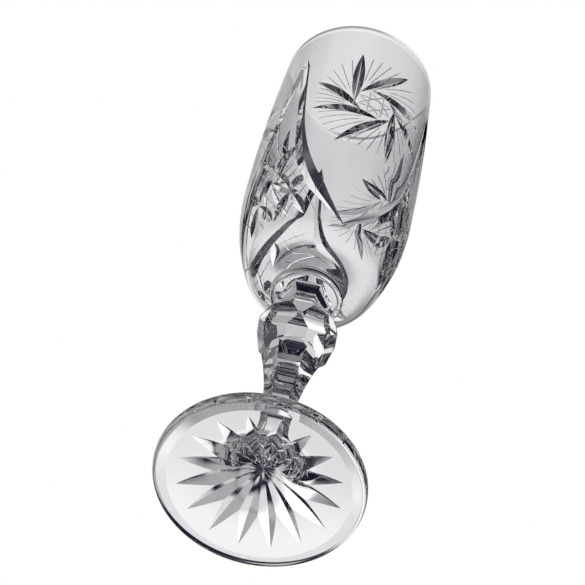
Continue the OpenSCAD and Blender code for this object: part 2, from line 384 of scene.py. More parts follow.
class Wiring:
    """Short forms for building a node tree."""

    def __init__(self, tree: bpy.types.NodeTree) -> None:
        """Keeps the tree."""
        self.tree = tree

    def node(self, kind: str, **settings: object) -> bpy.types.Node:
        """Adds a node with some of its settings.

        Args:
            kind: Node type.
            settings: Attributes of the node to set.

        Returns:
            The node.
        """
        made = self.tree.nodes.new(kind)
        for key, value in settings.items():
            setattr(made, key, value)
        return made

    def feed(self, value: Signal, slot: bpy.types.NodeSocket) -> None:
        """Links a socket to an input, or sets a plain value on it.

        Args:
            value: Socket or plain value.
            slot: The input.
        """
        if isinstance(value, bpy.types.NodeSocket):
            self.tree.links.new(value, slot)
        else:
            slot.default_value = value

    def math(self, operation: str, a: Signal, b: Signal = 0.0, c: Signal = 0.0) -> bpy.types.NodeSocket:
        """Adds a math node.

        Args:
            operation: Name of the operation.
            a: First value or socket.
            b: Second value or socket.
            c: Third value or socket.

        Returns:
            The result's socket.
        """
        made = self.node("ShaderNodeMath", operation=operation)
        for slot, value in zip(made.inputs, (a, b, c)):
            self.feed(value, slot)
        return made.outputs[0]

    def ramp(self, value: Signal, low: float, high: float, start: float, end: float) -> bpy.types.NodeSocket:
        """Adds a smooth change between two values.

        Args:
            value: Socket that drives it.
            low: Value at which the change starts.
            high: Value at which the change ends.
            start: Result up to the start.
            end: Result from the end on.

        Returns:
            The result's socket.
        """
        made = self.node("ShaderNodeMapRange", interpolation_type="SMOOTHSTEP")
        for name, given in (("From Min", low), ("From Max", high), ("To Min", start), ("To Max", end)):
            made.inputs[name].default_value = given
        self.feed(value, made.inputs["Value"])
        return made.outputs["Result"]

    def blend(
        self, share: bpy.types.NodeSocket, one: bpy.types.Node, two: bpy.types.Node
    ) -> bpy.types.NodeSocket:
        """Mixes two shaders.

        Args:
            share: Share of the second one.
            one: First shader.
            two: Second shader.

        Returns:
            The mixed shader's socket.
        """
        made = self.node("ShaderNodeMixShader")
        for slot, value in zip(made.inputs, (share, one.outputs[0], two.outputs[0])):
            self.feed(value, slot)
        return made.outputs[0]


class RingRepeat:
    """A Geometry Nodes tree that repeats a tool evenly round the axis of the glass."""

    def __init__(self) -> None:
        """Builds the tree with its named inputs."""
        self.tree = bpy.data.node_groups.new("repeat_round_axis", "GeometryNodeTree")
        face = self.tree.interface
        face.new_socket("Geometry", in_out="INPUT", socket_type="NodeSocketGeometry")
        self.count = face.new_socket("Count", in_out="INPUT", socket_type="NodeSocketInt").identifier
        self.turn = face.new_socket("Turn", in_out="INPUT", socket_type="NodeSocketFloat").identifier
        self.finish = face.new_socket("Finish", in_out="INPUT", socket_type="NodeSocketMaterial").identifier
        face.new_socket("Geometry", in_out="OUTPUT", socket_type="NodeSocketGeometry")
        self._wire()

    def _wire(self) -> None:
        """Places and links the nodes."""
        wires = Wiring(self.tree)
        given = wires.node("NodeGroupInput")
        result = wires.node("NodeGroupOutput")
        points = wires.node("GeometryNodePoints")
        index = wires.node("GeometryNodeInputIndex")
        euler = wires.node("ShaderNodeCombineXYZ")
        rotation = wires.node("FunctionNodeEulerToRotation")
        place = wires.node("GeometryNodeInstanceOnPoints")
        real = wires.node("GeometryNodeRealizeInstances")
        paint = wires.node("GeometryNodeSetMaterial")
        step = wires.math("DIVIDE", 2 * math.pi, given.outputs["Count"])
        angle = wires.math("MULTIPLY_ADD", index.outputs[0], step, given.outputs["Turn"])
        wires.feed(given.outputs["Count"], points.inputs["Count"])
        wires.feed(angle, euler.inputs["Z"])
        wires.feed(euler.outputs[0], rotation.inputs["Euler"])
        wires.feed(points.outputs["Points"], place.inputs["Points"])
        wires.feed(given.outputs["Geometry"], place.inputs["Instance"])
        wires.feed(rotation.outputs["Rotation"], place.inputs["Rotation"])
        wires.feed(place.outputs["Instances"], real.inputs["Geometry"])
        wires.feed(real.outputs["Geometry"], paint.inputs["Geometry"])
        wires.feed(given.outputs["Finish"], paint.inputs["Material"])
        wires.feed(paint.outputs["Geometry"], result.inputs["Geometry"])

    def apply(self, tool: bpy.types.Object, count: int, turn: float, finish: bpy.types.Material) -> None:
        """Replaces a tool's mesh by its copies round the axis.

        Args:
            tool: Object that holds one tool.
            count: Number of copies.
            turn: Turn of the first copy in degrees.
            finish: Material that the cut leaves.
        """
        nodes = tool.modifiers.new("ring", "NODES")
        nodes.node_group = self.tree
        nodes[self.count] = count
        nodes[self.turn] = math.radians(turn)
        nodes[self.finish] = finish
        settle(tool)


def polish_trace() -> bpy.types.NodeTree:
    """Shader group for what polishing leaves on crystal: faint haze and a faint ripple.

    Returns:
        The group, with the outputs Roughness and Height.
    """
    tree = bpy.data.node_groups.new("polish_trace", "ShaderNodeTree")
    for name, start in (("Scale", 60.0), ("Stretch", 1.0), ("Haze", 0.02)):
        socket = tree.interface.new_socket(name, in_out="INPUT", socket_type="NodeSocketFloat")
        socket.default_value = start
    for name in ("Roughness", "Height"):
        tree.interface.new_socket(name, in_out="OUTPUT", socket_type="NodeSocketFloat")
    wires = Wiring(tree)
    given = wires.node("NodeGroupInput")
    result = wires.node("NodeGroupOutput")
    where = wires.node("ShaderNodeTexCoord")
    stretch = wires.node("ShaderNodeCombineXYZ")
    stretch.inputs["X"].default_value = 1.0
    stretch.inputs["Y"].default_value = 1.0
    wires.feed(given.outputs["Stretch"], stretch.inputs["Z"])
    spot = wires.node("ShaderNodeVectorMath", operation="MULTIPLY")
    wires.feed(where.outputs["Object"], spot.inputs[0])
    wires.feed(stretch.outputs[0], spot.inputs[1])
    ripple = wires.node("ShaderNodeTexNoise")
    ripple.inputs["Detail"].default_value = 1.5
    wires.feed(spot.outputs[0], ripple.inputs["Vector"])
    wires.feed(given.outputs["Scale"], ripple.inputs["Scale"])
    haze = wires.node("ShaderNodeTexNoise")
    haze.inputs["Detail"].default_value = 3.0
    wires.feed(where.outputs["Object"], haze.inputs["Vector"])
    wires.feed(wires.math("MULTIPLY", given.outputs["Scale"], 4.0), haze.inputs["Scale"])
    veil = wires.ramp(haze.outputs["Fac"], 0.45, 0.75, 0.0, 1.0)
    wires.feed(wires.math("MULTIPLY", veil, given.outputs["Haze"]), result.inputs["Roughness"])
    wires.feed(ripple.outputs["Fac"], result.inputs["Height"])
    return tree


def bare_material(name: str) -> tuple[bpy.types.Material, Wiring, bpy.types.NodeSocket]:
    """Makes a material that has only its output.

    Args:
        name: Name of the material.

    Returns:
        The material, its nodes and the socket for its surface.
    """
    made = bpy.data.materials.new(name)
    made.use_nodes = True
    made.node_tree.nodes.clear()
    wires = Wiring(made.node_tree)
    return made, wires, wires.node("ShaderNodeOutputMaterial").inputs["Surface"]


@dataclass(frozen=True)
class CrystalFinish:
    """Colourless lead crystal, as blown or as cut and polished, with its traces of polishing in metres."""

    name: str
    tint: tuple[float, float, float] = (0.95, 0.95, 0.96)
    shade: tuple[float, float, float] = (0.8, 0.81, 0.83)
    ior: float = 1.545
    haze: float = 0.02
    ripple_scale: float = 60.0
    ripple_stretch: float = 1.0
    ripple_depth: float = 0.00002

    def material(self, trace: bpy.types.NodeTree) -> bpy.types.Material:
        """Builds the finish, whose shadow is as pale as that of glass.

        Args:
            trace: Group that gives the traces of polishing.

        Returns:
            The material.
        """
        made, wires, surface = bare_material(self.name)
        glass = wires.node("ShaderNodeBsdfPrincipled")
        glass.inputs["Base Color"].default_value = (*self.tint, 1.0)
        glass.inputs["IOR"].default_value = self.ior
        glass.inputs["Transmission Weight"].default_value = 1.0
        marks = wires.node("ShaderNodeGroup", node_tree=trace)
        marks.inputs["Scale"].default_value = self.ripple_scale
        marks.inputs["Stretch"].default_value = self.ripple_stretch
        marks.inputs["Haze"].default_value = self.haze
        wires.feed(marks.outputs["Roughness"], glass.inputs["Roughness"])
        bump = wires.node("ShaderNodeBump")
        bump.inputs["Strength"].default_value = 1.0
        bump.inputs["Distance"].default_value = self.ripple_depth
        wires.feed(marks.outputs["Height"], bump.inputs["Height"])
        wires.feed(bump.outputs["Normal"], glass.inputs["Normal"])
        path = wires.node("ShaderNodeLightPath")
        open_to_lamps = wires.node("ShaderNodeBsdfTransparent")
        open_to_lamps.inputs["Color"].default_value = (*self.shade, 1.0)
        wires.feed(wires.blend(path.outputs["Is Shadow Ray"], glass, open_to_lamps), surface)
        return made


@dataclass(frozen=True)
class FusedFinish:
    """The inside of a joint, where two gathers of glass have melted into one."""

    name: str

    def material(self) -> bpy.types.Material:
        """Builds a finish that lets light straight through.

        Returns:
            The material.
        """
        made, wires, surface = bare_material(self.name)
        clear = wires.node("ShaderNodeBsdfTransparent")
        wires.feed(clear.outputs[0], surface)
        return made


@dataclass
class Workshop:
    """The finishes and tools that all pieces share."""

    finishes: list[bpy.types.Material]
    ring: RingRepeat

    @classmethod
    def equip(cls) -> Workshop:
        """Makes the finishes, in the order of the skins, and the repeating tree.

        Returns:
            The workshop.
        """
        trace = polish_trace()
        blown = CrystalFinish("crystal_blown", haze=0.015, ripple_scale=45.0, ripple_stretch=0.35)
        cut = CrystalFinish("crystal_cut", haze=0.02, ripple_scale=140.0, ripple_depth=0.000006)
        fused = FusedFinish("crystal_fused")
        ground = CrystalFinish("crystal_ground", haze=0.5, ripple_scale=400.0, ripple_depth=0.00001)
        finishes = [blown.material(trace), cut.material(trace), fused.material(), ground.material(trace)]
        return cls(finishes, RingRepeat())

    def cut(
        self, blank: bpy.types.Object, tool: Shell, count: int = 1, turn: float = 0.0, skin: Skin = Skin.CUT
    ) -> None:
        """Takes a tool, repeated round the axis, out of a piece.

        Args:
            blank: Piece to cut.
            tool: The tool at its first place.
            count: Number of places round the axis.
            turn: Turn of the first place in degrees.
            skin: Skin that the cut leaves.
        """
        wheel = tool.to_object("wheel", self.finishes, outward=True)
        self.ring.apply(wheel, count, turn, self.finishes[skin.value])
        cut = blank.modifiers.new("cut", "BOOLEAN")
        cut.operation = "DIFFERENCE"
        cut.solver = "MANIFOLD"
        cut.material_mode = "TRANSFER"
        cut.object = wheel
        bpy.context.view_layer.update()
        settle(blank)
        bpy.data.meshes.remove(wheel.data)

    def cut_six_sides(self, blank: bpy.types.Object, tool: Shell, turn: float) -> None:
        """Cuts six sides, every second one at a time because tools next to each other touch.

        Args:
            blank: Piece to cut.
            tool: The tool at its first place.
            turn: Turn of the first place in degrees.
        """
        for start in (0, 60):
            self.cut(blank, tool, 3, turn + start)

    def finish(self, made: bpy.types.Object, turning: Turning, node: str) -> None:
        """Gives a piece its normals and metres and ties it to the frame.

        Args:
            made: The cut piece.
            turning: Profile that its walls follow.
            node: Node of the part that the piece stands for.
        """
        polish(made.data, turning)
        made.data.transform(Matrix.Scale(METRE, 4))
        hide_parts(node)
        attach(made, "root")
        made.data.calc_loop_triangles()
        LOG.info("%s: %d triangles", made.name, len(made.data.loop_triangles))


def polish(mesh: bpy.types.Mesh, turning: Turning, crease: float = 22.0) -> None:
    """Gives walls the normals of their profile, and cuts crisp edges between smooth sides.

    Args:
        mesh: Mesh of the piece in millimetres.
        turning: Profile that the walls follow.
        crease: Angle in degrees from which an edge between two sides is crisp.
    """
    sheet = bmesh.new()
    sheet.from_mesh(mesh)
    for edge in sheet.edges:
        kinds = {f.material_index for f in edge.link_faces}
        edge.smooth = len(kinds) == 1 and edge.calc_face_angle(0.0) < math.radians(crease)
    for face in sheet.faces:
        face.smooth = True
    sheet.to_mesh(mesh)
    sheet.free()
    outlines = turning.outlines()
    trees = []
    for points, _ in outlines:
        tree = kdtree.KDTree(len(points))
        for i, (r, z) in enumerate(points):
            tree.insert((r, z, 0.0), i)
        tree.balance()
        trees.append(tree)
    spots = [(math.hypot(v.co.x, v.co.y), v.co.z) for v in mesh.vertices]
    normals: list[tuple[float, float, float]] = [(0.0, 0.0, 0.0)] * len(mesh.loops)
    known: dict[tuple[int, int], tuple[float, float, float]] = {}
    for face in mesh.polygons:
        if face.material_index != Skin.WALL.value:
            continue
        middle = (math.hypot(face.center.x, face.center.y), face.center.z, 0.0)
        run = min(range(len(trees)), key=lambda i: trees[i].find(middle)[2])
        for loop in face.loop_indices:
            vertex = mesh.loops[loop].vertex_index
            if (run, vertex) not in known:
                r, z = spots[vertex]
                out = outlines[run][1][trees[run].find((r, z, 0.0))[1]]
                co = mesh.vertices[vertex].co
                across = (co.x / r, co.y / r) if r > ON_AXIS else (0.0, 0.0)
                known[run, vertex] = (out[0] * across[0], out[0] * across[1], out[1])
            normals[loop] = known[run, vertex]
    mesh.normals_split_custom_set(normals)


@dataclass
class Foot:
    """The round foot with its domed underside and the star that is cut into it."""

    radius: float = 31.0
    edge_thickness: float = 3.9
    edge_round: float = 1.6
    rest_width: float = 2.6
    dome: float = 4.4
    joint: float = 18.7
    pad: float = 5.65
    flare: float = 14.4
    flare_above_joint: float = 1.5
    rays: int = 16
    ray_turn: float = 4.0
    ray_tip: float = 24.3
    ray_depth: float = 3.2
    ray_half_angle: float = 49.0
    tool_overrun: float = 2.7
    tool_floor: float = -4.0
    tool_rings: int = 27
    spokes_per_ray: int = 8

    @property
    def rest_out(self) -> float:
        """Outer radius of the ring that the glass stands on."""
        return self.radius - self.edge_round

    @property
    def rest_in(self) -> float:
        """Inner radius of the ring that the glass stands on."""
        return self.rest_out - self.rest_width

    @property
    def dome_radius(self) -> float:
        """Radius of the hollow under the foot."""
        return (self.rest_in**2 + self.dome**2) / (2 * self.dome)

    def turning(self) -> Turning:
        """Profile of the foot from the middle of its underside to its pad.

        Returns:
            The profile, open at the pad.
        """
        hollow = math.degrees(math.asin(self.rest_in / self.dome_radius))
        below = arc((0, self.dome - self.dome_radius), self.dome_radius, 90, 90 - hollow, 40)
        rest = np.array([(self.rest_in, 0.0), (self.rest_out, 0.0)])
        edge = (self.rest_out, self.edge_thickness - self.edge_round)
        flare = (self.pad + self.flare, self.joint + self.flare_above_joint)
        along = (flare[0] - edge[0], flare[1] - edge[1])
        lean = math.asin((self.edge_round + self.flare) / math.hypot(*along))
        aim = math.degrees(math.atan2(along[1], along[0]) + lean) - 90
        end = 180 + math.degrees(math.asin(self.flare_above_joint / self.flare))
        above = chain(
            arc((self.rest_out, self.edge_round), self.edge_round, -90, 0, 12),
            arc(edge, self.edge_round, 0, aim, 12),
            arc(flare, self.flare, aim + 180, end, 20),
        )
        return Turning([(below, Skin.WALL), (rest, Skin.WALL), (above, Skin.WALL)], 256)

    def star(self) -> Shell:
        """The glass that the star's cuts take out, as one tool.

        Returns:
            A closed mesh with a crease along every ray and along every ridge between two rays.
        """
        sag = self.dome_radius - math.sqrt(self.dome_radius**2 - self.ray_tip**2)
        drop = self.ray_depth + sag
        wheel = (self.ray_tip**2 + drop**2) / (2 * drop)
        top = self.dome + self.ray_depth
        half = math.pi / self.rays
        per_ray = self.spokes_per_ray
        spokes = per_ray * self.rays
        reach = np.linspace(0, self.ray_tip + self.tool_overrun, self.tool_rings + 1)[1:]
        made = Shell()
        made.points.append((0.0, 0.0, top))
        for r in reach:
            for k in range(spokes):
                off = min(k % per_ray, per_ray - k % per_ray) / (per_ray / 2) * half
                bottom = top - wheel + math.sqrt(wheel**2 - (r * math.cos(off)) ** 2)
                height = bottom - r * math.sin(off) / math.tan(math.radians(self.ray_half_angle))
                angle = math.radians(self.ray_turn + FRONT) + k * 2 * math.pi / spokes
                made.points.append((r * math.cos(angle), r * math.sin(angle), height))
        outer = len(made.points) - spokes
        made.points.extend((x, y, self.tool_floor) for x, y, _ in made.points[outer : outer + spokes])
        made.points.append((0.0, 0.0, self.tool_floor))
        end = len(made.points) - 1
        for k in range(spokes):
            after = (k + 1) % spokes
            made.faces.append((0, 1 + k, 1 + after))
            made.faces.append((end, outer + spokes + after, outer + spokes + k))
            for j in range(len(reach)):
                low = 1 + j * spokes
                made.faces.append((low + k, low + spokes + k, low + spokes + after, low + after))
        made.skins = [Skin.CUT] * len(made.faces)
        return made

    def build(self, shop: Workshop, stem: Stem) -> bpy.types.Object:
        """Makes the foot.

        Args:
            shop: Shared finishes and tools.
            stem: Stem that stands on it.

        Returns:
            The finished piece.
        """
        turning = self.turning()
        blank = turning.shell()
        ring = list(range(len(blank.points) - turning.around, len(blank.points)))
        cap(blank, ring, hexagon(stem.flat_at(self.joint), stem.turn), self.joint, up=True)
        made = blank.to_object("foot_cut", shop.finishes)
        shop.cut(made, self.star())
        shop.finish(made, turning, "foot")
        return made


@dataclass
class Stem:
    """The six-sided shaft, slimmest at its waist, with a shoulder under the knop."""

    low: float = 18.7
    top: float = 60.8
    blank: float = 9.5
    turn: float = -3.0
    waist_height: float = 31.0
    waist: float = 4.15
    flute: float = 112.0
    shoulder: float = 8.65
    shoulder_height: float = 58.7
    notch: float = 7.4
    tool_overrun: float = 2.0
    tool_reach: float = 16.0
    tool_half_width: float = 6.0

    def flat_at(self, height: float) -> float:
        """Distance from the axis to the flats at a height."""
        return self.waist + self.flute - math.sqrt(self.flute**2 - (height - self.waist_height) ** 2)

    def build(self, shop: Workshop) -> bpy.types.Object:
        """Makes the stem.

        Args:
            shop: Shared finishes and tools.

        Returns:
            The finished piece.
        """
        slope = (self.top - self.shoulder_height) / (self.shoulder - self.notch)
        corner = self.shoulder_height - slope * (self.blank - self.shoulder)
        turning = Turning.stepped(
            [
                (0, self.low),
                (self.blank, self.low),
                (self.blank, corner),
                (self.notch, self.top),
                (0, self.top),
            ],
            [Skin.JOINT, Skin.WALL, Skin.CUT, Skin.JOINT],
        )
        made = turning.shell().to_object("stem_cut", shop.finishes)
        heights = np.linspace(self.low - self.tool_overrun, self.top + self.tool_overrun, 44)
        hollow = np.array([(self.flat_at(z), z) for z in heights])
        outside = np.array([(self.tool_reach, heights[-1]), (self.tool_reach, heights[0])])
        tool = bar(np.vstack((hollow, outside)), self.tool_half_width)
        shop.cut_six_sides(made, tool, self.turn)
        shop.finish(made, turning, "stem")
        return made


@dataclass
class Knop:
    """The faceted bead of the stem, with the hollow-cut neck above it."""

    low: float = 60.8
    top: float = 88.6
    turn: float = -3.0
    girdle: float = 12.9
    crown: float = 82.0
    neck_blank: float = 9.2
    neck: float = 5.0
    neck_height: float = 84.0
    neck_hollow: float = 6.0
    main_facets: tuple[Spot, ...] = ((7.2, 59.8), (8.85, 64.5), (11.65, 67.1), (11.65, 73.4), (5.7, 82.01))
    edge_facets: tuple[Spot, ...] = ((7.715, 59.8), (11.9, 72.3), (7.58, 82.01))
    tool_reach: float = 18.0
    tool_half_width: float = 7.0

    def flat_at_top(self) -> float:
        """Distance from the axis to the neck's flats where it meets the collar."""
        rise = self.top - self.neck_height
        return self.neck + self.neck_hollow - math.sqrt(self.neck_hollow**2 - rise**2)

    def facet_tool(self, facets: tuple[Spot, ...]) -> Shell:
        """The tool that grinds one column of facets."""
        outside = [(self.tool_reach, facets[-1][1]), (self.tool_reach, facets[0][1])]
        return bar(np.array([*facets, *outside]), self.tool_half_width)

    def build(self, shop: Workshop, stem: Stem) -> bpy.types.Object:
        """Makes the knop.

        Args:
            shop: Shared finishes and tools.
            stem: Stem under it.

        Returns:
            The finished piece.
        """
        turning = Turning.stepped(
            [
                (0, self.low),
                (stem.notch, self.low),
                (self.girdle, self.low),
                (self.girdle, self.crown),
                (self.neck_blank, self.crown),
                (self.neck_blank, self.top),
                (0, self.top),
            ],
            [Skin.JOINT, Skin.CUT, Skin.WALL, Skin.WALL, Skin.WALL, Skin.JOINT],
        )
        made = turning.shell().to_object("knop_cut", shop.finishes)
        centre = (self.neck + self.neck_hollow, self.neck_height)
        hollow = bar(arc(centre, self.neck_hollow, 0, 360, 97)[:-1], self.tool_half_width)
        shop.cut_six_sides(made, self.facet_tool(self.main_facets), self.turn)
        shop.cut_six_sides(made, self.facet_tool(self.edge_facets), self.turn + 30)
        shop.cut_six_sides(made, hollow, self.turn)
        shop.finish(made, turning, "knop")
        return made


@dataclass
class Collar:
    """The round disc between the knop and the bowl."""

    low: float = 88.6
    top: float = 92.3
    radius: float = 11.2

    def build(self, shop: Workshop, knop: Knop, seat: float) -> bpy.types.Object:
        """Makes the collar.

        Args:
            shop: Shared finishes and tools.
            knop: Knop under it.
            seat: Radius at which the bowl sits on it.

        Returns:
            The finished piece.
        """
        half = (self.top - self.low) / 2
        flat = self.radius - half
        turning = Turning(
            [
                (arc((flat, self.low + half), half, -90, 90, 28), Skin.WALL),
                (np.array([(flat, self.top), (seat, self.top)]), Skin.WALL),
                (np.array([(seat, self.top), (0, self.top)]), Skin.JOINT),
            ]
        )
        blank = turning.shell()
        ring = list(range(turning.around))
        cap(blank, ring, hexagon(knop.flat_at_top(), knop.turn), self.low, up=False)
        made = blank.to_object("collar_turned", shop.finishes)
        shop.finish(made, turning, "collar")
        return made


@dataclass
class Bowl:
    """The tall blown bowl with a thick base."""

    joint: float = 92.3
    top: float = 206.0
    belly: float = 26.25
    belly_height: float = 134.0
    rim: float = 23.65
    rim_thickness: float = 2.0
    flank: float = 95.0
    base: float = 15.4
    seat_cut: float = 0.3
    wall: float = 3.4
    inside_base: float = 9.0
    cavity: float = 99.0

    def cup(self, belly: float, rim: float, flank: float, base: float, bottom: float) -> list[np.ndarray]:
        """The three arcs of one side of the wall, from the base up.

        Args:
            belly: Largest radius.
            rim: Radius at the rim.
            flank: Radius of the curve under the belly.
            base: Radius of the curve round the base.
            bottom: Height of the lowest point.

        Returns:
            Arcs from the bottom to the rim.
        """
        rim_height = self.top - self.rim_thickness / 2
        offset = math.sqrt((flank - base) ** 2 - (self.belly_height - bottom - base) ** 2)
        corner = (belly - flank + offset, bottom + base)
        lean = math.degrees(math.asin((corner[1] - self.belly_height) / (flank - base)))
        rise = rim_height - self.belly_height
        side = (rise**2 + (belly - rim) ** 2) / (2 * (belly - rim))
        start = math.degrees(math.asin(max(-1.0, (self.joint - corner[1]) / base)))
        return [
            arc(corner, base, start, lean, 30),
            arc((belly - flank, self.belly_height), flank, lean, 0, 24),
            arc((belly - side, self.belly_height), side, 0, math.degrees(math.asin(rise / side)), 28),
        ]

    def outside(self) -> np.ndarray:
        """The outer profile from the seat to the rim."""
        return chain(*self.cup(self.belly, self.rim, self.flank, self.base, self.joint - self.seat_cut))

    def inside(self) -> np.ndarray:
        """The inner profile from the rim down.

        Returns:
            Points as rows of radius and height.
        """
        rim = self.rim - self.rim_thickness
        flank = self.flank - self.wall
        return chain(*self.cup(self.belly - self.wall, rim, flank, self.inside_base, self.cavity))[::-1]

    def seat(self) -> float:
        """Radius of the flat at the bottom."""
        return float(self.outside()[0, 0])

    def turning(self) -> Turning:
        """Profile of the bowl, from its seat over the rim to the middle of its inside.

        Returns:
            The profile, closed at both ends.
        """
        outer = self.outside()
        inner = self.inside()
        middle = ((outer[-1, 0] + inner[0, 0]) / 2, outer[-1, 1])
        rim = arc(middle, self.rim_thickness / 2, 0, 180, 14)
        floor = np.column_stack((np.linspace(inner[-1, 0], 0, 8), np.full(8, self.cavity)))
        seat = np.array([(0, self.joint), (outer[0, 0], self.joint)])
        return Turning([(seat, Skin.JOINT), (chain(outer, rim, inner, floor), Skin.WALL)], 256)

    def on_wall(self, path: np.ndarray) -> tuple[np.ndarray, np.ndarray]:
        """Places a flat pattern on the outside of the wall.

        Args:
            path: Rows of distance round the belly from the front and height.

        Returns:
            Points on the wall and outward directions there.
        """
        outer = self.outside()
        along = np.gradient(outer, axis=0)
        out = np.column_stack((along[:, 1], -along[:, 0]))
        out /= np.linalg.norm(out, axis=1)[:, None]
        radius = np.interp(path[:, 1], outer[:, 1], outer[:, 0])
        across = np.interp(path[:, 1], outer[:, 1], out[:, 0])
        up = np.interp(path[:, 1], outer[:, 1], out[:, 1])
        angle = path[:, 0] / self.belly - math.pi / 2
        places = np.column_stack((radius * np.cos(angle), radius * np.sin(angle), path[:, 1]))
        return places, np.column_stack((across * np.cos(angle), across * np.sin(angle), up))

    def build(self, shop: Workshop, cuts: BowlCuts) -> bpy.types.Object:
        """Makes the bowl.

        Args:
            shop: Shared finishes and tools.
            cuts: Decoration of the wall.

        Returns:
            The finished piece.
        """
        turning = self.turning()
        made = turning.shell().to_object("bowl_cut", shop.finishes)
        for tool, skin in cuts.tools():
            shop.cut(made, tool, cuts.panels, cuts.turn, skin)
        shop.finish(made, turning, "bowl")
        return made


@dataclass
class BowlCuts:
    """The decoration of the wall: pinwheels, and pointed arches with leaves and lattice between them.

    Places on the wall are rows of distance round the belly from the pinwheel's middle and height. Ends of
    leaves in the lattice are in shares of half a cell. Along an arch, t runs from 0 at its point to 1 at its
    feet.
    """

    bowl: Bowl
    panels: int = 3
    turn: float = 14.2
    wheel_height: float = 161.8
    hub: float = 6.95
    blade_turns: tuple[float, ...] = (-1.6, 36.4, 90.5, 131.5)
    blade_starts: tuple[float, ...] = (-2.2, -0.2, -2.2, -0.3)
    blade_ends: tuple[float, ...] = (26.4, 26.4, 19.6, 20.8)
    blade_depth: float = 1.25
    leaf_depth: float = 1.2
    leaf_end_depth: float = 0.01
    leaf_half_angle: float = 54.0
    leaf_land: float = 0.24
    line_depth: float = 0.09
    line_half_angle: float = 58.0
    line_rise: float = 0.06
    line_step: float = 0.7
    line_run_out: float = 0.08
    line_end_share: float = 0.05
    fan: int = 4
    ray_reach: float = 0.93
    ray_start: float = 0.28
    ray_stagger: float = 0.05
    star_radius: float = 6.2
    arch_point: float = 187.0
    arch_foot: float = 103.2
    arch_lean: float = 0.4
    arch_top_depth: float = 0.8
    arch_low_depth: float = 1.6
    arch_swell_from: float = 0.4
    arch_swell_over: float = 0.42
    arch_from: float = -0.02
    arch_run_in: float = 0.06
    arch_to: float = 1.015
    arch_run_out: float = 0.15
    arch_half_angle: float = 59.0
    arch_rise: float = 0.5
    cell_half_width: float = 6.6
    cell_half_height: float = 10.8
    cell_middle: float = 113.4
    lattice_leaf_ends: tuple[tuple[Spot, Spot], ...] = (
        ((0.0, 1.0), (1.0, 2.0)),
        ((-1.0, 0.0), (0.0, 1.0)),
        ((0.0, -1.0), (1.0, 0.0)),
        ((1.0, 0.0), (1.62, 0.62)),
        ((-1.95, -0.95), (-1.0, 0.0)),
    )
    lattice_leaf_gap: float = 0.07
    lattice_line_sixths: tuple[int, ...] = (-7, -5, -1, 1, 5, 7)
    lattice_margin: float = 2.6
    lattice_low: float = 102.5
    lattice_top: float = 146.0
    lattice_shortest: float = 0.25

    @property
    def wheel(self) -> np.ndarray:
        """Place of the pinwheel's middle."""
        return np.array([0.0, self.wheel_height])

    @property
    def arch_middle(self) -> float:
        """Distance of the arch's middle from the pinwheel's, round the belly."""
        return -math.pi * self.bowl.belly / self.panels

    def leaf(self, start: np.ndarray, end: np.ndarray, depth: float) -> Shell:
        """One straight cut that runs out at both ends.

        Args:
            start: Place of one end.
            end: Place of the other end.
            depth: Depth at the middle.

        Returns:
            The tool.
        """
        share = np.linspace(0, 1, 17)
        places, out = self.bowl.on_wall(start + share[:, None] * (end - start))
        run_out = np.maximum(depth * (1 - (2 * share - 1) ** 2), self.leaf_end_depth)
        return mitre(places, out, run_out, self.leaf_half_angle, land=self.leaf_land)

    def line(self, start: np.ndarray, end: np.ndarray) -> Shell:
        """One fine line of even depth with short ends.

        Args:
            start: Place of one end.
            end: Place of the other end.

        Returns:
            The tool.
        """
        share = np.linspace(0, 1, max(9, int(np.linalg.norm(end - start) / self.line_step)))
        places, out = self.bowl.on_wall(start + share[:, None] * (end - start))
        turns = [0, self.line_run_out, 1 - self.line_run_out, 1]
        depth = self.line_depth * np.interp(share, turns, [self.line_end_share, 1, 1, self.line_end_share])
        return mitre(places, out, depth, self.line_half_angle, self.line_rise)

    def blades(self) -> list[tuple[np.ndarray, np.ndarray]]:
        """Start and tip of the eight blades from the pinwheel's middle, clockwise from the upright one.

        Returns:
            Pairs of places; the last four are the first four turned by half a turn.
        """
        half = []
        for turn, start, end in zip(self.blade_turns, self.blade_starts, self.blade_ends):
            along = np.array([math.sin(math.radians(turn)), math.cos(math.radians(turn))])
            root = self.hub * np.array([-along[1], along[0]])
            half.append((root + start * along, root + end * along))
        return half + [(-a, -b) for a, b in half]

    def rays(self) -> list[Shell]:
        """The fine lines that fan out between the blades.

        Returns:
            One tool for each line.
        """
        blades = self.blades()
        made = []
        for (_, tip), (root, after) in zip(blades, blades[1:] + blades[:1]):
            one = math.atan2(tip[0], tip[1])
            two = math.atan2(after[0], after[1])
            two += 2 * math.pi if two < one else 0.0
            for k in range(self.fan):
                share = (k + 1) / (self.fan + 1)
                angle = one + share * (two - one)
                reach = self.ray_reach * ((1 - share) * np.linalg.norm(tip) + share * np.linalg.norm(after))
                end = reach * np.array([math.sin(angle), math.cos(angle)])
                start = root + (self.ray_start + self.ray_stagger * (k % 2)) * (end - root)
                made.append(self.line(self.wheel + start, self.wheel + end))
        return made

    def star(self) -> list[Shell]:
        """The eight crossing lines in the middle of a pinwheel.

        Returns:
            One tool for each line.
        """
        angle = math.pi / 8 + np.arange(8) * math.pi / 4
        corner = self.star_radius * np.column_stack((np.sin(angle), np.cos(angle)))
        return [self.line(self.wheel + corner[i], self.wheel + corner[(i + 3) % 8]) for i in range(8)]

    def arch_half_width(self, t: np.ndarray) -> np.ndarray:
        """Half width of an arch at t."""
        return math.pi * self.bowl.belly / self.panels * (self.arch_lean * t + (1 - self.arch_lean) * t**7)

    def arch_height(self, t: np.ndarray) -> np.ndarray:
        """Height of an arch at t."""
        return self.arch_point + (self.arch_foot - self.arch_point) * t

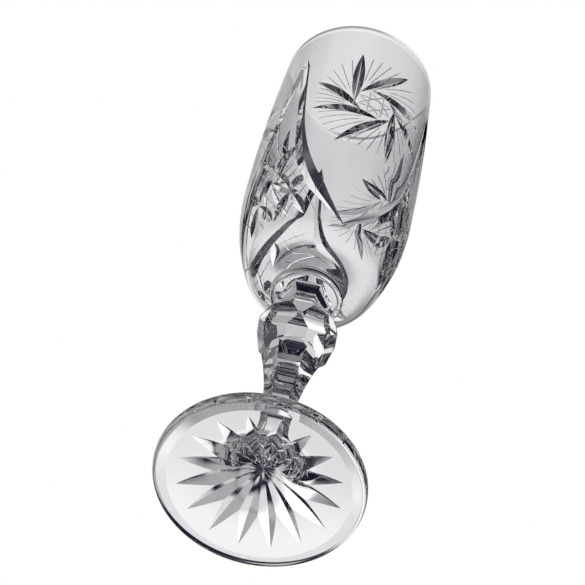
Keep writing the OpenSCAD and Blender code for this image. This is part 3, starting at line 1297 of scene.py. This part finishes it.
    def arch_side(self, side: float) -> Shell:
        """One long mitre of a pointed arch.

        Args:
            side: 1 for the right side and -1 for the left.

        Returns:
            The tool.
        """
        t = np.linspace(-0.03, 1.0, 84)
        path = np.column_stack((self.arch_middle + side * self.arch_half_width(t), self.arch_height(t)))
        swell = np.clip((t - self.arch_swell_from) / self.arch_swell_over, 0, 1)
        deeper = self.arch_low_depth - self.arch_top_depth
        depth = self.arch_top_depth + deeper * swell**2 * (3 - 2 * swell)
        ends = np.minimum((t - self.arch_from) / self.arch_run_in, (self.arch_to - t) / self.arch_run_out)
        depth *= np.minimum(1, ends)
        places, out = self.bowl.on_wall(path)
        return mitre(places, out, depth, self.arch_half_angle, self.arch_rise)

    def lattice_leaves(self, side: float) -> list[Shell]:
        """Almond cuts along the lattice inside an arch that lean one way.

        Args:
            side: 1 for the leaves that lean right and -1 for those that lean left.

        Returns:
            One tool for each leaf.
        """
        cell = np.array([side * self.cell_half_width, self.cell_half_height])
        middle = np.array([self.arch_middle, self.cell_middle])
        made = []
        for one, two in self.lattice_leaf_ends:
            start = middle + cell * one
            end = middle + cell * two
            gap = self.lattice_leaf_gap * (end - start)
            made.append(self.leaf(start + gap, end - gap, self.leaf_depth))
        return made

    def lattice_lines(self, side: float) -> list[Shell]:
        """Fine lines between the leaves inside an arch that lean one way.

        Args:
            side: 1 for the lines that lean right and -1 for those that lean left.

        Returns:
            One tool for each line.
        """
        t = np.linspace(1, 0, 60)
        border_width = self.arch_half_width(t)
        border_height = self.arch_height(t)
        share = np.linspace(-2, 3.2, 400)
        made = []
        for shift in np.array(self.lattice_line_sixths) / 6:
            x = (share + shift) * self.cell_half_width
            z = self.cell_middle + (share - shift) * self.cell_half_height
            inside = np.abs(x) < np.interp(z, border_height, border_width) - self.lattice_margin
            inside &= (z > self.lattice_low) & (z < self.lattice_top)
            if not inside.any():
                continue
            ends = np.flatnonzero(inside)[[0, -1]]
            if share[ends[1]] - share[ends[0]] < self.lattice_shortest:
                continue
            points = [np.array([self.arch_middle + side * x[i], z[i]]) for i in ends]
            made.append(self.line(points[0], points[1]))
        return made

    def tools(self) -> list[tuple[Shell, Skin]]:
        """All tools of one panel, in the order of cutting.

        Returns:
            Tools whose own parts don't touch, each with the skin that it leaves.
        """
        blades = [self.leaf(self.wheel + a, self.wheel + b, self.blade_depth) for a, b in self.blades()]
        fine = [together(self.lattice_lines(side)) for side in (1.0, -1.0)]
        fine += [together(self.rays()), *self.star()]
        deep = [together(self.lattice_leaves(side)) for side in (1.0, -1.0)]
        deep += [self.arch_side(side) for side in (1.0, -1.0)]
        deep += [together(blades[::2]), together(blades[1::2])]
        return [(tool, Skin.LINE) for tool in fine] + [(tool, Skin.CUT) for tool in deep]


@dataclass(frozen=True)
class PhotoCamera:
    """The photograph's camera, below the foot and in front of the glass."""

    distance: float = 1135.3
    from_below: float = 40.268
    roll: float = -14.109
    focal_pixels: float = 4000.0
    image: int = 585
    sensor: float = 36.0
    foot_pixel: Spot = (258.84, 485.09)

    def place(self) -> None:
        """Adds the camera to the scene."""
        lean = math.radians(self.from_below)
        back = Vector((0.0, -math.sin(lean), -math.cos(lean)))
        up = (Vector((0, 0, 1)) - back.z * back).normalized()
        right = (-back).cross(up)
        roll = math.radians(self.roll)
        up_rolled = math.cos(roll) * up + math.sin(roll) * right
        right_rolled = math.cos(roll) * right - math.sin(roll) * up
        middle = self.image / 2
        aim = Vector((self.foot_pixel[0] - middle, middle - self.foot_pixel[1], -self.focal_pixels))
        swing = Vector((0, 0, -1)).rotation_difference(aim.normalized()).to_matrix()
        to_camera = swing @ Matrix((right_rolled, up_rolled, back))
        data = bpy.data.cameras.new("photo_camera")
        data.sensor_width = self.sensor
        data.lens = self.sensor * self.focal_pixels / self.image
        data.clip_start = 0.01
        data.clip_end = 50.0
        made = bpy.data.objects.new("photo_camera", data)
        made.matrix_world = Matrix.Translation(back * self.distance * METRE) @ to_camera.transposed().to_4x4()
        bpy.context.scene.collection.objects.link(made)
        bpy.context.scene.camera = made


@dataclass(frozen=True)
class Panel:
    """A soft-edged panel far away, bright or dark, by its direction and its size in degrees."""

    azimuth: float
    elevation: float
    half_width: float
    half_height: float
    soft: float
    level: float

    def lay(self, wires: Wiring, direction: bpy.types.NodeSocket, under: Signal) -> bpy.types.NodeSocket:
        """Lays the panel over what is already there.

        Args:
            wires: The surround's nodes.
            direction: Socket with the direction that is looked in.
            under: Brightness of what lies under it.

        Returns:
            Socket with the brightness of both.
        """
        a = math.radians(self.azimuth)
        e = math.radians(self.elevation)
        ahead = Vector((math.sin(a) * math.cos(e), math.cos(a) * math.cos(e), math.sin(e)))
        right = Vector((math.cos(a), -math.sin(a), 0.0))
        shares = []
        for axis in (ahead, right, right.cross(ahead)):
            dot = wires.node("ShaderNodeVectorMath", operation="DOT_PRODUCT")
            dot.inputs[1].default_value = axis
            wires.feed(direction, dot.inputs[0])
            shares.append(dot.outputs["Value"])
        across = self._edge(wires, wires.math("ARCTAN2", shares[1], shares[0]), self.half_width)
        along = self._edge(wires, wires.math("ARCSINE", shares[2]), self.half_height)
        mask = wires.math("MULTIPLY", across, along)
        return wires.math("MULTIPLY_ADD", mask, wires.math("SUBTRACT", self.level, under), under)

    def _edge(self, wires: Wiring, angle: bpy.types.NodeSocket, half: float) -> bpy.types.NodeSocket:
        """The soft edge of the panel at half its width or height."""
        off = wires.math("ABSOLUTE", angle)
        return wires.ramp(off, math.radians(half - self.soft), math.radians(half + self.soft), 1.0, 0.0)


@dataclass
class Studio:
    """The pale floor, the soft light round the glass and one soft lamp, in metres."""

    panels: tuple[Panel, ...] = (
        Panel(2.0, 54.0, 17.0, 10.5, 3.0, 0.86),
        Panel(2.0, 46.5, 17.0, 3.5, 2.5, 1.04),
        Panel(-18.0, 26.0, 15.0, 17.0, 4.0, 1.4),
        Panel(-20.0, 41.0, 12.0, 4.0, 3.0, 0.7),
        Panel(-45.0, 46.0, 12.0, 12.0, 4.0, 0.8),
        Panel(-62.0, 28.0, 34.0, 15.0, 5.0, 1.25),
        Panel(-105.0, -8.0, 36.0, 20.0, 8.0, 0.8),
        Panel(0.0, 2.0, 45.0, 7.0, 4.0, 0.6),
        Panel(50.0, -22.0, 32.0, 22.0, 8.0, 0.6),
        Panel(55.0, 14.0, 12.0, 10.0, 5.0, 1.2),
        Panel(16.0, 30.0, 19.0, 13.0, 4.0, 0.45),
        Panel(38.0, 50.0, 9.0, 8.0, 4.0, 0.5),
        Panel(-75.0, 78.0, 9.0, 9.0, 4.0, 0.7),
        Panel(-155.0, 60.0, 18.0, 12.0, 4.0, 0.4),
    )
    dark: tuple[float, float, float] = (0.012, 0.011, 0.03)
    band: float = 0.9
    band_below: Spot = (-11.0, -4.0)
    band_through_walls: Spot = (2.0, 14.0)
    one_wall: float = 2.5
    thrown_back: float = 0.65
    floor_half: float = 3.0
    floor_tone: float = 0.9
    floor_grain: float = 0.02
    lamp_power: float = 6.0
    lamp_size: float = 0.6
    lamp_place: tuple[float, float, float] = (-0.8, -0.5, 1.2)
    lamp_aim: tuple[float, float, float] = (0.0, 0.0, 0.1)

    def floor(self) -> None:
        """Lays a floor that shows only from above, so the photograph's camera sees the glass from below."""
        h = self.floor_half
        mesh = bpy.data.meshes.new("floor")
        mesh.from_pydata([(-h, -h, 0), (h, -h, 0), (h, h, 0), (-h, h, 0)], [], [(0, 1, 2, 3)])
        finish, wires, surface = bare_material("floor_pale")
        pale = wires.node("ShaderNodeBsdfDiffuse")
        grain = wires.node("ShaderNodeTexNoise")
        grain.inputs["Scale"].default_value = 3.0
        where = wires.node("ShaderNodeTexCoord")
        wires.feed(where.outputs["Object"], grain.inputs["Vector"])
        tone = wires.ramp(grain.outputs["Fac"], 0.3, 0.7, self.floor_tone, self.floor_tone + self.floor_grain)
        colour = wires.node("ShaderNodeCombineColor")
        for name in ("Red", "Green", "Blue"):
            wires.feed(tone, colour.inputs[name])
        wires.feed(colour.outputs[0], pale.inputs["Color"])
        clear = wires.node("ShaderNodeBsdfTransparent")
        side = wires.node("ShaderNodeNewGeometry")
        path = wires.node("ShaderNodeLightPath")
        through = wires.math("MAXIMUM", path.outputs["Is Transmission Ray"], path.outputs["Is Glossy Ray"])
        unseen = wires.math("MAXIMUM", side.outputs["Backfacing"], through)
        wires.feed(wires.blend(unseen, pale, clear), surface)
        mesh.materials.append(finish)
        made = bpy.data.objects.new("floor", mesh)
        bpy.context.scene.collection.objects.link(made)

    def surround(self) -> None:
        """Lights the room softly: white to the camera, with panels and darker parts that cut glass shows."""
        world = bpy.data.worlds.new("studio")
        bpy.context.scene.world = world
        world.use_nodes = True
        world.node_tree.nodes.clear()
        wires = Wiring(world.node_tree)
        result = wires.node("ShaderNodeOutputWorld")
        where = wires.node("ShaderNodeTexCoord")
        path = wires.node("ShaderNodeLightPath")
        only_bent = wires.math("LESS_THAN", path.outputs["Glossy Depth"], 0.5)
        bright: Signal = 0.0
        for panel in self.panels:
            bright = panel.lay(wires, where.outputs["Generated"], bright)
        bright = wires.math("MAXIMUM", bright, self.pale_band(wires, where, path, only_bent))
        direct = wires.math("MAXIMUM", path.outputs["Is Camera Ray"], path.outputs["Is Diffuse Ray"])
        bright = wires.math("MULTIPLY_ADD", direct, wires.math("SUBTRACT", 1.0, bright), bright)
        colour = wires.node("ShaderNodeMix", data_type="RGBA", clamp_factor=False)
        colour.inputs["A"].default_value = (*self.dark, 1.0)
        colour.inputs["B"].default_value = (1.0, 1.0, 1.0, 1.0)
        wires.feed(bright, colour.inputs["Factor"])
        sky = wires.node("ShaderNodeBackground")
        wires.feed(colour.outputs["Result"], sky.inputs["Color"])
        strength = wires.math("MULTIPLY_ADD", only_bent, 1 - self.thrown_back, self.thrown_back)
        wires.feed(strength, sky.inputs["Strength"])
        wires.feed(sky.outputs[0], result.inputs["Surface"])

    def pale_band(
        self, wires: Wiring, where: bpy.types.Node, path: bpy.types.Node, only_bent: bpy.types.NodeSocket
    ) -> bpy.types.NodeSocket:
        """The pale lower part of the room, which keeps the glass clear from the side and from above.

        Args:
            wires: The surround's nodes.
            where: Node that gives the direction.
            path: Node that gives the light's path.
            only_bent: Socket that is 1 for light that was not thrown back.

        Returns:
            Socket with the brightness.
        """
        axes = wires.node("ShaderNodeSeparateXYZ")
        wires.feed(where.outputs["Generated"], axes.inputs[0])
        walls = wires.math("GREATER_THAN", path.outputs["Transmission Depth"], self.one_wall)
        below = self._fade(wires, axes.outputs["Z"], self.band_below)
        level = self._fade(wires, axes.outputs["Z"], self.band_through_walls)
        band = wires.math("MAXIMUM", below, wires.math("MULTIPLY", level, walls))
        return wires.math("MULTIPLY", band, wires.math("MULTIPLY", only_bent, self.band))

    def _fade(self, wires: Wiring, height: bpy.types.NodeSocket, angles: Spot) -> bpy.types.NodeSocket:
        """Fades from 1 to 0 between two elevations in degrees."""
        low, high = (math.sin(math.radians(angle)) for angle in angles)
        return wires.ramp(height, low, high, 1.0, 0.0)

    def lamp(self) -> None:
        """Hangs one soft lamp above the left shoulder."""
        data = bpy.data.lights.new("soft_lamp", "AREA")
        data.size = self.lamp_size
        data.energy = self.lamp_power
        made = bpy.data.objects.new("soft_lamp", data)
        made.location = self.lamp_place
        aim = Vector(self.lamp_aim) - made.location
        made.rotation_euler = aim.to_track_quat("-Z", "Y").to_euler()
        made.visible_glossy = False
        made.visible_transmission = False
        bpy.context.scene.collection.objects.link(made)

    def build(self) -> None:
        """Sets up the studio and the view."""
        self.floor()
        self.surround()
        self.lamp()
        scene = bpy.context.scene
        scene.view_settings.view_transform = "Standard"
        scene.cycles.max_bounces = 32
        scene.cycles.transmission_bounces = 32
        scene.cycles.glossy_bounces = 16
        scene.cycles.transparent_max_bounces = 64


def main() -> None:
    """Builds the glass on its frame, and the studio round it."""
    logging.basicConfig(level=logging.INFO, format="%(name)s: %(message)s")
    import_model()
    shop = Workshop.equip()
    stem = Stem()
    knop = Knop()
    bowl = Bowl()
    Foot().build(shop, stem)
    stem.build(shop)
    knop.build(shop, stem)
    Collar().build(shop, knop, bowl.seat())
    bowl.build(shop, BowlCuts(bowl))
    Studio().build()
    PhotoCamera().place()


if __name__ == "__main__":
    main()
